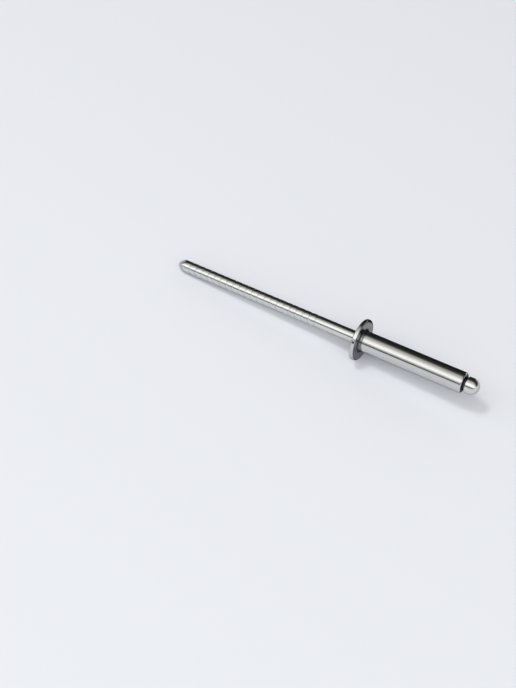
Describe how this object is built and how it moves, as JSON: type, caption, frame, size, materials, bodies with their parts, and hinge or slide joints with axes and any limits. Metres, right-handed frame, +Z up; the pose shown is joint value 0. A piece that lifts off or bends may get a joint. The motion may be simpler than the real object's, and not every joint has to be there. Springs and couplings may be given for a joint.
{
  "type": "blind rivet",
  "caption": "Unset steel blind rivet: a tubular shank with a low domed flange on a grooved mandrel whose head sits at the blind end. It joins sheets from one side.",
  "frame": {"origin": "on the table, under the middle of the rivet's length and on its centre plane", "axes": "+X along the rivet from the mandrel tip to the mandrel head, +Y sideways, +Z up off the table that the rivet lies on. The rivet's own axis leans up from +X by 4.3 degrees, because it lies on its flange rim and its mandrel tip"},
  "size_m": [0.0516, 0.0064, 0.0065],
  "materials": {
    "body_steel": "bright stainless steel, smooth as drawn",
    "mandrel_steel": "bright drawn stainless wire with rolled ring grooves"
  },
  "bodies": {
    "root": {"rivet_body": "body_steel", "mandrel": "mandrel_steel"}
  },
  "joints": []
}
